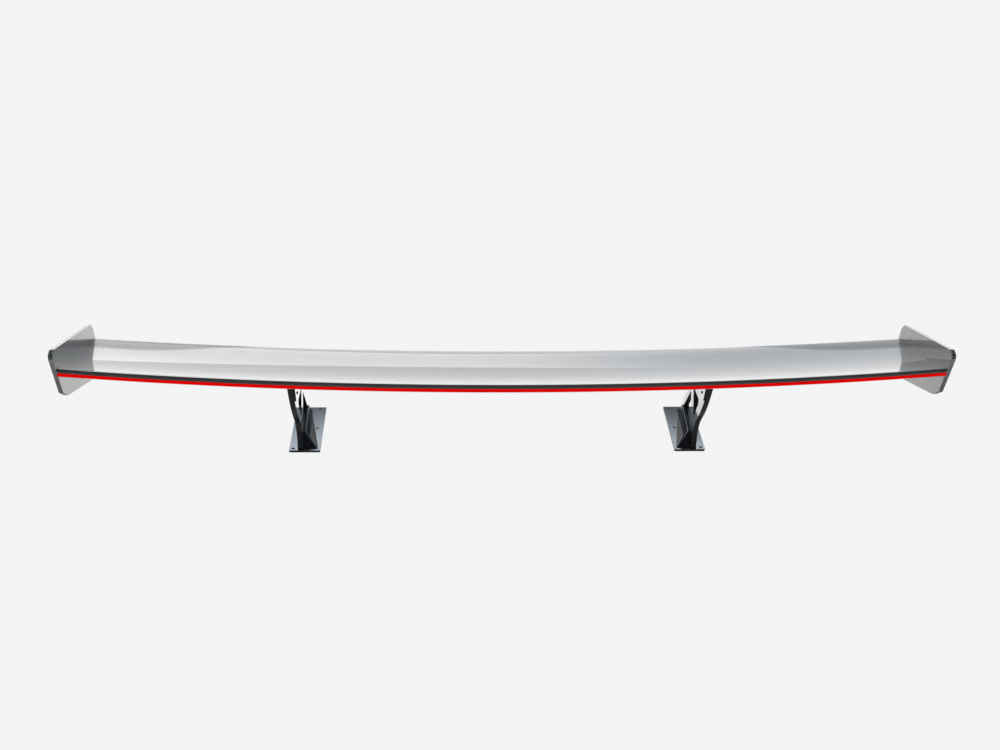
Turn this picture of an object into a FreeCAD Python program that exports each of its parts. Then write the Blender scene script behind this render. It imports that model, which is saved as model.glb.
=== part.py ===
"""Racing rear wing: carbon aerofoil with end plates and brake light, on two trussed uprights.

Frame in mm: +X to the right seen from behind, +Y forwards, +Z up. Origin on the deck plane,
in the middle of the overall length and width. Each named node goes to parts/NODE.step.
"""

import math
import os

import FreeCAD
import Part

Vector = FreeCAD.Vector

# Overall
WIDTH = 1600.0
FOOT_FRONT_Y = 268.5  # front edge of the feet; the trailing edge reaches as far back

# Aerofoil
CHORD = 268.3  # at mid-span
NOSE_DOWN = math.radians(15.0)
TAIL_Y = -266.82
TAIL_Z = 364.3
NOSE_BOW = 49.7  # how far forward the nose has come at the tips
TAIL_BOW = 57.5
THICKNESS_RATIO = 0.10
CAMBER_RATIO = 0.06
TAIL_HEIGHT = 12.5
SKIN = 2.0
BOND = 0.25  # bond line between inner pieces and skins
STATIONS = 9
CURVE_POINTS = 16

# End plates
ENDPLATE_T = 8.0
ENDPLATE_SCREW_R = 2.5
HALF_SPAN = WIDTH / 2 - ENDPLATE_T

# Inside the aerofoil, as fractions of the chord from the nose
RIB_T = 3.0
END_RIB_T = 7.0
NOSE_RIB_SPAN = (0.03, 0.385)
SPAR_SPAN = (0.39, 0.43)
REAR_RIB_SPAN = (0.435, 0.93)
END_RIB_SPAN = (0.05, 0.93)
HARDPOINT_SPAN = (0.12, 0.38)
HARDPOINT_X = (380.0, 414.0)
RIB_XS = (-600.0, -200.0, 200.0, 600.0)
END_SCREW_SPANS = (0.15, 0.30, 0.52, 0.74)

# Trailing edge and its light
BLACK_HEIGHT = 7.2  # carbon above the light
LENS_DEPTH = 3.0
CHANNEL_DEPTH = 8.0
CHANNEL_WALL = 0.9
BOARD_T = 0.8
LED_COUNT = 60
LED_SIZE = (2.8, 1.2, 1.8)
LIGHT_END_GAP = 1.0
GROMMET_X, GROMMET_S = -330.0, 0.60
GROMMET_R = 5.0

# Feet
FOOT_LENGTH = 176.0
FOOT_WIDTH = 65.0
FOOT_IN_X = 376.0
FOOT_T = 5.0
GASKET_T = 1.0
FOOT_HOLE_R = 3.3
HOLE_IN_X = 389.0
HOLE_OUT_X = 433.0
HOLE_REAR_Y = 8.0  # from the rear edge of the foot
HOLE_PITCH_Y = 80.0
FOOT_REAR_Y = FOOT_FRONT_Y - FOOT_LENGTH
FOOT_CORNER_R = 3.0
FOOT_SCREW_PLACES = ((26.0, 15.0), (70.0, 18.0), (114.0, 18.0))  # y from the foot's rear edge, z
FOOT_SCREW_R = 2.5
FOOT_INSERT_R = 4.0
FOOT_INSERT_L = (9.0, 8.0, 5.0)

# Uprights
UPRIGHT_IN_X = 412.0
UPRIGHT_T = 11.0
UPRIGHT_OUT_X = UPRIGHT_IN_X + UPRIGHT_T

# Pivot and clamp of the wing brackets, y from the rear edge of the foot
BRACKET_T = 4.0
BODY_GAP = 0.3
BRACKET_OUT_X = UPRIGHT_IN_X - BODY_GAP
BRACKET_IN_X = BRACKET_OUT_X - BRACKET_T
PIVOT_Y, PIVOT_Z = -84.0, 240.0
PIVOT_BOLT_R = 4.0
BUSH_R = 5.5
PIVOT_EYE_R = 20.0
CLAMP_Y, CLAMP_Z = -58.5, 180.0
CLAMP_R = 2.5
CLAMP_WASHER_R = 5.0
CLAMP_WASHER_T = 1.0
CLAMP_NUT_W = 8.0
CLAMP_NUT_T = 4.0
POCKET_HALF_W = 5.4
POCKET_DEPTH = 5.6
POCKET_X = UPRIGHT_OUT_X - POCKET_DEPTH
SLOT_HALF_ANGLE = math.radians(5.5)
FLANGE_W = 26.0
FLANGE_T = 4.0
FLANGE_SPAN = (0.14, 0.37)
BRACKET_SCREW_SPANS = (0.17, 0.25, 0.33)
BRACKET_SCREW_X = 393.0
BRACKET_SCREW_R = 2.5
BRACKET_INSERT_R = 4.0

# Bought fasteners: radius and height of domed heads, width and height of hexagons
BUTTON_HEAD = (4.6, 2.6)
CLAMP_HEAD = (3.8, 2.2)
PIVOT_HEX_W = 13.0
PIVOT_HEAD_T = 5.3
PIVOT_NUT_T = 7.5
PIVOT_WASHER_R = 8.0
PIVOT_WASHER_T = 1.6
PIVOT_BOLT_PAST = 11.0  # how far the bolt stands out of the upright


def foot_y(y):
    """Row Y of a point given from the rear edge of the foot."""
    return FOOT_REAR_Y + y


def save(name, shape):
    shape.exportStep("parts/%s.step" % name)
    box = shape.BoundBox
    print("%-20s solids %2d  volume %9.1f  valid %s  x %.1f..%.1f y %.1f..%.1f z %.1f..%.1f" % (
        name, len(shape.Solids), shape.Volume, shape.isValid(),
        box.XMin, box.XMax, box.YMin, box.YMax, box.ZMin, box.ZMax))


def mirrored(shape):
    return shape.mirror(Vector(0, 0, 0), Vector(1, 0, 0))


def save_pair(name, right):
    save(name + "_right", right)
    save(name + "_left", mirrored(right))


def save_group(name, solids):
    save(name, Part.makeCompound(solids))


# ---------------------------------------------------------------- outlines


def rounded_wire(corners, to_vector):
    """Closed wire through (a, b, radius) corners, each corner rounded by its own radius."""
    count = len(corners)
    starts, ends, middles = [], [], []
    for i in range(count):
        a, b, radius = corners[i]
        here = Vector(a, b, 0)
        before = (Vector(*corners[i - 1][:2], 0) - here).normalize()
        after = (Vector(*corners[(i + 1) % count][:2], 0) - here).normalize()
        half = before.getAngle(after) / 2
        reach = radius / math.tan(half)
        centre_way = (before + after).normalize()
        starts.append(here + before * reach)
        ends.append(here + after * reach)
        middles.append(here + centre_way * (radius / math.sin(half) - radius))
    edges = []
    for i in range(count):
        start, middle, end = [to_vector(p.x, p.y) for p in (starts[i], middles[i], ends[i])]
        if corners[i][2] > 0:
            edges.append(Part.Arc(start, middle, end).toShape())
        following = starts[(i + 1) % count]
        edges.append(Part.makeLine(end, to_vector(following.x, following.y)))
    return Part.Wire(edges)


def side_plate(corners, x, thickness):
    """Plate across X from an outline of (y, z, radius) corners."""
    wire = rounded_wire(corners, lambda a, b: Vector(x, a, b))
    return Part.Face(wire).extrude(Vector(thickness, 0, 0))


def rod(x, y, z, radius, length):
    return Part.makeCylinder(radius, length, Vector(x, y, z), Vector(1, 0, 0))


def hexagon(x, y, z, across_flats, length):
    radius = across_flats / math.sqrt(3)
    turns = [math.radians(60 * i) for i in range(7)]
    ring = [Vector(x, y + radius * math.cos(t), z + radius * math.sin(t)) for t in turns]
    return Part.Face(Part.makePolygon(ring)).extrude(Vector(length, 0, 0))


def dome_head(radius, height):
    """Button head on the plane Z 0, rising to +Z, with a socket in its top."""
    ball_r = (radius ** 2 + height ** 2) / (2 * height)
    ball = Part.makeSphere(ball_r, Vector(0, 0, height - ball_r))
    head = ball.common(Part.makeCylinder(radius, height))
    return head.cut(Part.makeCylinder(radius * 0.38, height, Vector(0, 0, height * 0.45)))


# ---------------------------------------------------------------- aerofoil


def camber(s):
    return -4 * CAMBER_RATIO * s * (1 - s) * CHORD


def half_thickness(s):
    shape = 0.2969 * math.sqrt(s) - 0.126 * s - 0.3516 * s ** 2 + 0.2843 * s ** 3 - 0.1015 * s ** 4
    return 5 * THICKNESS_RATIO * shape * CHORD + s * TAIL_HEIGHT / 2


def skin_thickness(s):
    """Full thickness along the chord, thinning to an edge at the nose."""
    return SKIN * half_thickness(s) / (half_thickness(s) + SKIN) if s > 0 else 0.0


def outer_top(s):
    return camber(s) + half_thickness(s)


def outer_bottom(s):
    return camber(s) - half_thickness(s)


def skin_inside_top(s):
    return outer_top(s) - skin_thickness(s)


def skin_inside_bottom(s):
    return outer_bottom(s) + skin_thickness(s)


def core_top(s):
    return skin_inside_top(s) - BOND


def core_bottom(s):
    return skin_inside_bottom(s) + BOND


def level(height):
    """Constant offset from the chord line, as a curve function."""
    return lambda s: height


def chord_frame(x):
    """Nose point, chord vector and unit normal of the aerofoil at one station."""
    bow = (x / HALF_SPAN) ** 2
    tail = Vector(x, TAIL_Y + TAIL_BOW * bow, TAIL_Z)
    nose_y = TAIL_Y + CHORD * math.cos(NOSE_DOWN) + NOSE_BOW * bow
    nose = Vector(x, nose_y, TAIL_Z - CHORD * math.sin(NOSE_DOWN))
    along = tail - nose
    return nose, along, Vector(0, along.z, -along.y).normalize()


def wing_point(x, s, v):
    nose, along, normal = chord_frame(x)
    return nose + along * s + normal * v


def wing_curve(x, s0, s1, height):
    """Spline along the chord; the points crowd towards the nose where it turns fastest."""
    steps = [i / (CURVE_POINTS - 1) for i in range(CURVE_POINTS)]
    r0, r1 = math.sqrt(s0), math.sqrt(s1)
    fractions = [(r0 + (r1 - r0) * t) ** 2 for t in steps]
    curve = Part.BSplineCurve()
    curve.interpolate([wing_point(x, s, height(s)) for s in fractions])
    return curve.toShape()


def wing_section(x, s0, s1, top, bottom):
    edges = [wing_curve(x, s0, s1, top)]
    edges.append(Part.makeLine(wing_point(x, s1, top(s1)), wing_point(x, s1, bottom(s1))))
    edges.append(wing_curve(x, s0, s1, bottom))
    if top(s0) - bottom(s0) > 0.01:
        edges.append(Part.makeLine(wing_point(x, s0, bottom(s0)), wing_point(x, s0, top(s0))))
    return Part.Wire(Part.__sortEdges__(edges))


def wing_loft(x0, x1, s0, s1, top, bottom, stations=STATIONS):
    """Solid between two stations that follows the bowed aerofoil."""
    xs = [x0 + (x1 - x0) * i / (stations - 1) for i in range(stations)]
    return Part.makeLoft([wing_section(x, s0, s1, top, bottom) for x in xs], True, False)


def chord_fraction(length):
    return length / CHORD


def make_upper_skin():
    return wing_loft(-HALF_SPAN, HALF_SPAN, 0, 1, outer_top, skin_inside_top)


def make_lower_skin():
    end = 1 - chord_fraction(LENS_DEPTH + CHANNEL_DEPTH)
    return wing_loft(-HALF_SPAN, HALF_SPAN, 0, end, skin_inside_bottom, outer_bottom)


def make_rib(x, thickness, spans):
    return wing_loft(x - thickness / 2, x + thickness / 2, *spans, core_top, core_bottom, stations=2)


def make_spar():
    """Box spar that follows the bow, with a hollow middle."""
    reach = HALF_SPAN - END_RIB_T - 0.5
    wall = 1.5
    s0, s1 = SPAR_SPAN
    outer = wing_loft(-reach, reach, s0, s1, core_top, core_bottom)
    hollow = wing_loft(
        -reach - 1, reach + 1, s0 + chord_fraction(wall), s1 - chord_fraction(wall),
        lambda s: core_top(s) - wall, lambda s: core_bottom(s) + wall)
    return outer.cut(hollow)


def make_hardpoint():
    return wing_loft(*HARDPOINT_X, *HARDPOINT_SPAN, core_top, core_bottom, stations=3)


def make_trailing_edge_bar():
    floor = TAIL_HEIGHT / 2 - BLACK_HEIGHT
    start = 1 - chord_fraction(LENS_DEPTH + CHANNEL_DEPTH)
    return wing_loft(-HALF_SPAN, HALF_SPAN, start, 1, core_top, level(floor))


# ---------------------------------------------------------------- brake light


LIGHT_TOP = TAIL_HEIGHT / 2 - BLACK_HEIGHT - 0.1
LIGHT_REACH = HALF_SPAN - LIGHT_END_GAP
LENS_S0 = 1 - chord_fraction(LENS_DEPTH)
CHANNEL_S0 = 1 - chord_fraction(LENS_DEPTH + CHANNEL_DEPTH - 0.2)
CAVITY_S0 = CHANNEL_S0 + chord_fraction(CHANNEL_WALL)
CAVITY_TOP = LIGHT_TOP - CHANNEL_WALL
CAVITY_BOTTOM = -TAIL_HEIGHT / 2 + CHANNEL_WALL


def make_light_channel():
    outer = wing_loft(-LIGHT_REACH, LIGHT_REACH, CHANNEL_S0, LENS_S0, level(LIGHT_TOP), outer_bottom)
    cavity = wing_loft(
        -LIGHT_REACH - 1, LIGHT_REACH + 1, CAVITY_S0, LENS_S0 + chord_fraction(1),
        level(CAVITY_TOP), level(CAVITY_BOTTOM))
    return outer.cut(cavity)


def make_light_board():
    reach = LIGHT_REACH - 3
    return wing_loft(
        -reach, reach, CAVITY_S0 + chord_fraction(0.2), CAVITY_S0 + chord_fraction(0.2 + BOARD_T),
        level(CAVITY_TOP - 0.1), level(CAVITY_BOTTOM + 0.1))


def make_leds():
    """Row of light sources on the rear face of the board, each square to the bowed edge."""
    width, depth, height = LED_SIZE
    pitch = 2 * (LIGHT_REACH - 12) / (LED_COUNT - 1)
    middle = (CAVITY_TOP + CAVITY_BOTTOM) / 2
    board_rear = CAVITY_S0 + chord_fraction(0.3 + BOARD_T + depth / 2)
    leds = []
    for i in range(LED_COUNT):
        x = -LIGHT_REACH + 12 + i * pitch
        led = Part.makeBox(width, depth, height, Vector(-width / 2, -depth / 2, -height / 2))
        led.rotate(Vector(0, 0, 0), Vector(1, 0, 0), -math.degrees(NOSE_DOWN))
        slope = 2 * TAIL_BOW * x / HALF_SPAN ** 2
        led.rotate(Vector(0, 0, 0), Vector(0, 0, 1), math.degrees(math.atan(slope)))
        led.translate(wing_point(x, board_rear, middle))
        leds.append(led)
    return leds


def make_lens():
    return wing_loft(-HALF_SPAN, HALF_SPAN, LENS_S0, 1, level(LIGHT_TOP), outer_bottom)


def make_light_end_caps():
    """Plugs in the open ends of the channel."""
    length = 2.0
    x1 = LIGHT_REACH
    cap = wing_loft(
        x1 - length, x1, CAVITY_S0 + chord_fraction(0.1), LENS_S0 - chord_fraction(0.1),
        level(CAVITY_TOP - 0.05), level(CAVITY_BOTTOM + 0.05), stations=2)
    return [cap, mirrored(cap)]


def make_grommet_plug():
    """Outer shape of the rubber ring for the light's lead, square to the lower skin."""
    body = Part.makeCylinder(GROMMET_R, 6.0, Vector(0, 0, -3.0))
    flange = Part.makeCylinder(GROMMET_R + 2.0, 2.4, Vector(0, 0, -3.0))
    return on_lower_skin(body.fuse(flange), GROMMET_X, GROMMET_S)


def make_grommet():
    bore = on_lower_skin(Part.makeCylinder(2.5, 12.0, Vector(0, 0, -6.0)), GROMMET_X, GROMMET_S)
    return make_grommet_plug().cut(bore)


def lower_normal_angle(s):
    """Pitch of the lower surface at a chord fraction, in degrees."""
    step = 0.01
    rise = (outer_bottom(s + step) - outer_bottom(s - step)) / (2 * step * CHORD)
    return math.degrees(NOSE_DOWN + math.atan(rise))


def on_lower_skin(shape, x, s):
    """Carries a shape drawn about the origin, +Z into the wing, to a place on the lower skin."""
    placed = shape.copy()
    placed.rotate(Vector(0, 0, 0), Vector(1, 0, 0), -lower_normal_angle(s))
    placed.translate(wing_point(x, s, outer_bottom(s)))
    return placed


# ---------------------------------------------------------------- end plates


def make_endplate():
    top_rear = (-204.5, 407.8)
    top_front = (22.7, 339.2)
    front_top = (35.0, 325.0)
    front_low = (53.5, 243.0)
    low_front = (31.0, 223.0)
    low_rear = (-170.0, 295.0)
    rear_low = (-194.4, 314.4)
    rear_top = (-219.6, 395.5)
    shoulder = (-217.2, 404.0)
    corners = [
        (*top_rear, 5), (*top_front, 5), (*front_top, 5), (*front_low, 5),
        (*low_front, 5), (*low_rear, 6), (*rear_low, 5), (*rear_top, 8),
        (*shoulder, 4)]
    plate = side_plate(corners, HALF_SPAN, ENDPLATE_T)
    for screw in make_endplate_screws_right():
        plate = plate.cut(screw)
    return plate


def end_screw_places():
    return [wing_point(HALF_SPAN, s, camber(s)) for s in END_SCREW_SPANS]


def make_endplate_screws_right():
    """Countersunk screws, flush with the outer face, that end inside the rib's inserts."""
    screws = []
    head_h = 2.8
    for place in end_screw_places():
        shank = rod(HALF_SPAN - 6.0, place.y, place.z, ENDPLATE_SCREW_R, 6.0 + ENDPLATE_T - head_h)
        head = Part.makeCone(
            ENDPLATE_SCREW_R, ENDPLATE_SCREW_R + head_h, head_h,
            Vector(WIDTH / 2 - head_h, place.y, place.z), Vector(1, 0, 0))
        screws.append(shank.fuse(head))
    return screws


def make_insert_right(place):
    outer = rod(HALF_SPAN - END_RIB_T, place.y, place.z, 4.5, END_RIB_T)
    return outer.cut(rod(HALF_SPAN - END_RIB_T - 1, place.y, place.z, ENDPLATE_SCREW_R, END_RIB_T + 2))


def make_end_rib():
    rib = wing_loft(HALF_SPAN - END_RIB_T, HALF_SPAN, *END_RIB_SPAN, core_top, core_bottom, stations=2)
    for place in end_screw_places():
        rib = rib.cut(rod(HALF_SPAN - END_RIB_T - 1, place.y, place.z, 4.5, END_RIB_T + 2))
    return rib


# ---------------------------------------------------------------- feet


def facet(points):
    return Part.Face(Part.makePolygon(list(points) + [points[0]]))


def make_pedestal():
    """Faceted wedge on the foot that the upright is screwed to; it narrows towards the front."""
    y0, y1 = foot_y(4.0), foot_y(164.0)
    z0 = FOOT_T - 1.0
    out = UPRIGHT_IN_X
    rear_in = Vector(379.0, y0, z0)
    rear_out = Vector(out, y0, z0)
    front_in = Vector(406.0, y1, z0)
    front_out = Vector(out, y1, z0)
    rear_ridge = Vector(408.0, foot_y(36.0), 29.0)
    rear_top = Vector(out, foot_y(36.0), 29.0)
    front_ridge = Vector(408.0, foot_y(122.0), 43.0)
    front_top = Vector(out, foot_y(122.0), 43.0)
    rear_knee = Vector(398.0, foot_y(34.0), 22.0)
    faces = [
        facet([rear_in, rear_out, front_out, front_in]),
        facet([rear_out, rear_top, front_top, front_out]),
        facet([rear_ridge, rear_top, front_top, front_ridge]),
        facet([front_in, front_out, front_top]),
        facet([front_in, front_top, front_ridge]),
        facet([rear_in, rear_knee, rear_ridge]),
        facet([rear_in, rear_ridge, rear_top]),
        facet([rear_in, rear_top, rear_out]),
        facet([rear_knee, front_ridge, rear_ridge]),
        facet([rear_knee, front_in, front_ridge]),
        facet([rear_in, front_in, rear_knee]),
    ]
    solid = Part.Solid(Part.Shell(faces))
    return solid if solid.Volume > 0 else solid.reversed()


def foot_hole_places():
    """Hole centres of the right foot: two pairs and a single one at the outer rear corner."""
    ys = [foot_y(HOLE_REAR_Y + HOLE_PITCH_Y * i) for i in range(3)]
    places = [(x, y) for y in ys[1:] for x in (HOLE_IN_X, HOLE_OUT_X)]
    return places + [(HOLE_OUT_X, ys[0])]


def make_foot():
    plate = Part.makeBox(FOOT_WIDTH, FOOT_LENGTH, FOOT_T - GASKET_T, Vector(FOOT_IN_X, FOOT_REAR_Y, GASKET_T))
    upright_edges = [edge for edge in plate.Edges if abs(edge.tangentAt(0).z) > 0.99]
    plate = plate.makeFillet(FOOT_CORNER_R, upright_edges)
    foot = plate.fuse(make_pedestal()).removeSplitter()
    for x, y in foot_hole_places():
        foot = foot.cut(Part.makeCylinder(FOOT_HOLE_R, 60, Vector(x, y, -1)))
    for (y, z), length in zip(FOOT_SCREW_PLACES, FOOT_INSERT_L):
        foot = foot.cut(rod(UPRIGHT_IN_X - length, foot_y(y), z, FOOT_INSERT_R, length + 1))
    return foot


def make_gasket():
    gasket = Part.makeBox(FOOT_WIDTH, FOOT_LENGTH, GASKET_T, Vector(FOOT_IN_X, FOOT_REAR_Y, 0))
    upright_edges = [edge for edge in gasket.Edges if abs(edge.tangentAt(0).z) > 0.99]
    gasket = gasket.makeFillet(FOOT_CORNER_R, upright_edges)
    for x, y in foot_hole_places():
        gasket = gasket.cut(Part.makeCylinder(FOOT_HOLE_R, 10, Vector(x, y, -1)))
    return gasket


def make_foot_inserts_right():
    inserts = []
    for (y, z), length in zip(FOOT_SCREW_PLACES, FOOT_INSERT_L):
        outer = rod(UPRIGHT_IN_X - length, foot_y(y), z, FOOT_INSERT_R, length)
        inserts.append(outer.cut(rod(UPRIGHT_IN_X - length + 1, foot_y(y), z, FOOT_SCREW_R, length)))
    return inserts


def make_foot_screws_right():
    """Button-head screws from the outer side, through the upright into the inserts."""
    screws = []
    for (y, z), length in zip(FOOT_SCREW_PLACES, FOOT_INSERT_L):
        grip = UPRIGHT_T + length - 1.5
        head = dome_head(*BUTTON_HEAD)
        head.rotate(Vector(0, 0, 0), Vector(0, 1, 0), 90)
        head.translate(Vector(UPRIGHT_OUT_X, foot_y(y), z))
        screws.append(head.fuse(rod(UPRIGHT_OUT_X - grip, foot_y(y), z, FOOT_SCREW_R, grip)))
    return screws


# ---------------------------------------------------------------- uprights


def spline_through(points, x):
    curve = Part.BSplineCurve()
    curve.interpolate([Vector(x, foot_y(y), z) for y, z in points])
    return curve.toShape()


def upright_blank():
    """Side outline: curved rear edge, round pivot eye at the top, straight raked front edge."""
    x = UPRIGHT_IN_X
    rear = [(6, 5), (7.5, 39), (-2, 69), (-32, 109), (-57, 145), (-87.5, 204), (-104, 240)]
    front = [(-66, 249), (-20, 207), (40, 148), (102, 90), (128, 60), (143, 28), (144, 5)]
    top = Vector(x, foot_y(PIVOT_Y), PIVOT_Z + PIVOT_EYE_R)
    first, last = rear[-1], front[0]
    edges = [
        spline_through(rear, x),
        Part.Arc(Vector(x, foot_y(first[0]), first[1]), top, Vector(x, foot_y(last[0]), last[1])).toShape(),
        spline_through(front, x),
        Part.makeLine(Vector(x, foot_y(front[-1][0]), 5), Vector(x, foot_y(rear[0][0]), 5)),
    ]
    return Part.Face(Part.Wire(edges)).extrude(Vector(UPRIGHT_T, 0, 0))


def window(corners):
    placed = [(foot_y(y), z, radius) for y, z, radius in corners]
    return side_plate(placed, UPRIGHT_IN_X - 1, UPRIGHT_T + 2)


def clamp_slot(half_width, x):
    """Arc slot about the pivot for the clamp, as a cutting solid from x outwards."""
    dy, dz = CLAMP_Y - PIVOT_Y, CLAMP_Z - PIVOT_Z
    radius = math.hypot(dy, dz)
    middle = math.atan2(dz, dy)

    def at(r, turn):
        angle = middle + turn
        return Vector(x, foot_y(PIVOT_Y) + r * math.cos(angle), PIVOT_Z + r * math.sin(angle))

    r0, r1 = radius - half_width, radius + half_width
    a = SLOT_HALF_ANGLE
    cap = half_width / radius
    edges = [
        Part.Arc(at(r0, -a), at(r0, 0), at(r0, a)).toShape(),
        Part.Arc(at(r0, a), at(radius, a + cap), at(r1, a)).toShape(),
        Part.Arc(at(r1, a), at(r1, 0), at(r1, -a)).toShape(),
        Part.Arc(at(r1, -a), at(radius, -a - cap), at(r0, -a)).toShape(),
    ]
    return Part.Face(Part.Wire(edges)).extrude(Vector(UPRIGHT_T + 2, 0, 0))


def make_upright():
    upright = upright_blank()
    upright = upright.cut(window([(18, 74, 3), (44, 133, 4), (-24, 139, 7)]))
    upright = upright.cut(window([(30, 37, 3), (124, 41, 3), (65, 112, 4)]))
    upright = upright.cut(clamp_slot(CLAMP_R + BODY_GAP, UPRIGHT_IN_X - 1))
    upright = upright.cut(clamp_slot(POCKET_HALF_W, POCKET_X))
    upright = upright.cut(rod(UPRIGHT_IN_X - 1, foot_y(PIVOT_Y), PIVOT_Z, PIVOT_BOLT_R, UPRIGHT_T + 2))
    for y, z in FOOT_SCREW_PLACES:
        upright = upright.cut(rod(UPRIGHT_IN_X - 1, foot_y(y), z, FOOT_SCREW_R, UPRIGHT_T + 2))
    return upright


# ---------------------------------------------------------------- brackets, pivots and clamps


def make_bracket(lower_skin):
    """Plate beside the upright and a flange that is shaped to the lower skin."""
    # The plate's outline runs into the wing; the part inside it is cut away below.
    corners = [
        (foot_y(-75.5), 170.0, 3), (foot_y(-38.0), 156.0, 6), (foot_y(-46.0), 200.0, 20),
        (foot_y(-66.0), 262.0, 8), (foot_y(-106.0), 300.0, 3), (foot_y(-186.0), 312.0, 3),
        (foot_y(-186.0), 283.0, 3), (foot_y(-124.0), 262.0, 20), (foot_y(-87.5), 205.0, 30)]
    plate = side_plate(corners, BRACKET_IN_X, BRACKET_T)
    flange_x = BRACKET_IN_X - FLANGE_W
    flange = wing_loft(
        flange_x, BRACKET_OUT_X, *FLANGE_SPAN, level(0.0), lambda s: outer_bottom(s) - FLANGE_T, stations=3)
    blank = plate.fuse(flange)
    # Everything from the lower skin upwards goes: the pieces that are left below it are the bracket.
    pad = wing_loft(
        flange_x - 5, BRACKET_OUT_X + 5, 0, 1, level(60.0), lambda s: outer_bottom(s) + 0.5, stations=3)
    bracket = blank.cut(pad).cut(lower_skin)
    bracket = max(bracket.Solids, key=lambda solid: solid.Volume)
    bracket = bracket.cut(rod(BRACKET_IN_X - 1, foot_y(PIVOT_Y), PIVOT_Z, BUSH_R, BRACKET_T + 2))
    bracket = bracket.cut(rod(BRACKET_IN_X - 1, foot_y(CLAMP_Y), CLAMP_Z, CLAMP_R, BRACKET_T + 2))
    for screw in make_bracket_screws_right():
        bracket = bracket.cut(screw)
    return bracket


def make_bracket_screws_right():
    """Screws from below, through flange and lower skin, that end in the hardpoint's inserts."""
    shank = Part.makeCylinder(BRACKET_SCREW_R, FLANGE_T + 9.0, Vector(0, 0, -FLANGE_T - 1.0))
    head = dome_head(*BUTTON_HEAD)
    head.rotate(Vector(0, 0, 0), Vector(1, 0, 0), 180)
    head.translate(Vector(0, 0, -FLANGE_T - 0.2))
    screw = shank.fuse(head)
    return [on_lower_skin(screw, BRACKET_SCREW_X, s) for s in BRACKET_SCREW_SPANS]


def make_bracket_inserts_right():
    outer = Part.makeCylinder(BRACKET_INSERT_R, 8.0, Vector(0, 0, SKIN + 0.8))
    insert = outer.cut(Part.makeCylinder(BRACKET_SCREW_R, 6.2, Vector(0, 0, SKIN - 0.2)))
    return [on_lower_skin(insert, BRACKET_SCREW_X, s) for s in BRACKET_SCREW_SPANS]


def make_pivot_bush():
    y = foot_y(PIVOT_Y)
    bush = rod(BRACKET_IN_X, y, PIVOT_Z, BUSH_R, BRACKET_T)
    return bush.cut(rod(BRACKET_IN_X - 1, y, PIVOT_Z, PIVOT_BOLT_R + 0.05, BRACKET_T + 2))


def make_pivot_bolt():
    y = foot_y(PIVOT_Y)
    head_x = BRACKET_IN_X - BODY_GAP
    shank = rod(head_x, y, PIVOT_Z, PIVOT_BOLT_R, UPRIGHT_OUT_X + PIVOT_BOLT_PAST - head_x)
    head = hexagon(head_x - PIVOT_HEAD_T, y, PIVOT_Z, PIVOT_HEX_W, PIVOT_HEAD_T)
    return head.fuse(shank)


def make_ring(x, y, z, inner_r, outer_r, thickness):
    return rod(x, y, z, outer_r, thickness).cut(rod(x - 1, y, z, inner_r, thickness + 2))


def make_pivot_washer():
    return make_ring(
        UPRIGHT_OUT_X, foot_y(PIVOT_Y), PIVOT_Z, PIVOT_BOLT_R, PIVOT_WASHER_R, PIVOT_WASHER_T)


def make_pivot_nut():
    y = foot_y(PIVOT_Y)
    nut = hexagon(UPRIGHT_OUT_X + PIVOT_WASHER_T, y, PIVOT_Z, PIVOT_HEX_W, PIVOT_NUT_T)
    return nut.cut(rod(UPRIGHT_OUT_X, y, PIVOT_Z, PIVOT_BOLT_R, 12.0))


def make_clamp_screw():
    """Button-head screw through bracket and slot; its head shows on the inner side."""
    y = foot_y(CLAMP_Y)
    end_x = POCKET_X + BODY_GAP + CLAMP_WASHER_T + CLAMP_NUT_T
    head = dome_head(*CLAMP_HEAD)
    head.rotate(Vector(0, 0, 0), Vector(0, 1, 0), -90)
    head.translate(Vector(BRACKET_IN_X, y, CLAMP_Z))
    return head.fuse(rod(BRACKET_IN_X, y, CLAMP_Z, CLAMP_R, end_x - BRACKET_IN_X))


def make_clamp_washer():
    """Washer at the floor of the pocket in the upright's outer side."""
    return make_ring(
        POCKET_X + BODY_GAP, foot_y(CLAMP_Y), CLAMP_Z, CLAMP_R, CLAMP_WASHER_R, CLAMP_WASHER_T)


def make_clamp_nut():
    y = foot_y(CLAMP_Y)
    nut = hexagon(POCKET_X + BODY_GAP + CLAMP_WASHER_T, y, CLAMP_Z, CLAMP_NUT_W, CLAMP_NUT_T)
    return nut.cut(rod(POCKET_X, y, CLAMP_Z, CLAMP_R, POCKET_DEPTH))


# ---------------------------------------------------------------- nodes


def both_sides(right_solids):
    return right_solids + [mirrored(solid) for solid in right_solids]


def build_aerofoil():
    lower_skin = make_lower_skin()
    bracket = make_bracket(lower_skin)
    hardpoint = make_hardpoint()
    screws = both_sides(make_bracket_screws_right())
    inserts = both_sides(make_bracket_inserts_right())
    for insert in make_bracket_inserts_right():
        hardpoint = hardpoint.cut(insert)
    for screw in make_bracket_screws_right():
        hardpoint = hardpoint.cut(screw)
    for cutter in screws + inserts + [make_grommet_plug()]:
        lower_skin = lower_skin.cut(cutter)
    save("upper_skin", make_upper_skin())
    save("lower_skin", lower_skin)
    save("trailing_edge_bar", make_trailing_edge_bar())
    save("main_spar", make_spar())
    for number, x in enumerate(RIB_XS, start=1):
        save("nose_rib_%d" % number, make_rib(x, RIB_T, NOSE_RIB_SPAN))
        save("rear_rib_%d" % number, make_rib(x, RIB_T, REAR_RIB_SPAN))
    save_pair("hardpoint", hardpoint)
    save_pair("wing_bracket", bracket)
    save_group("bracket_screws", screws)
    save_group("bracket_inserts", inserts)


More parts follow.
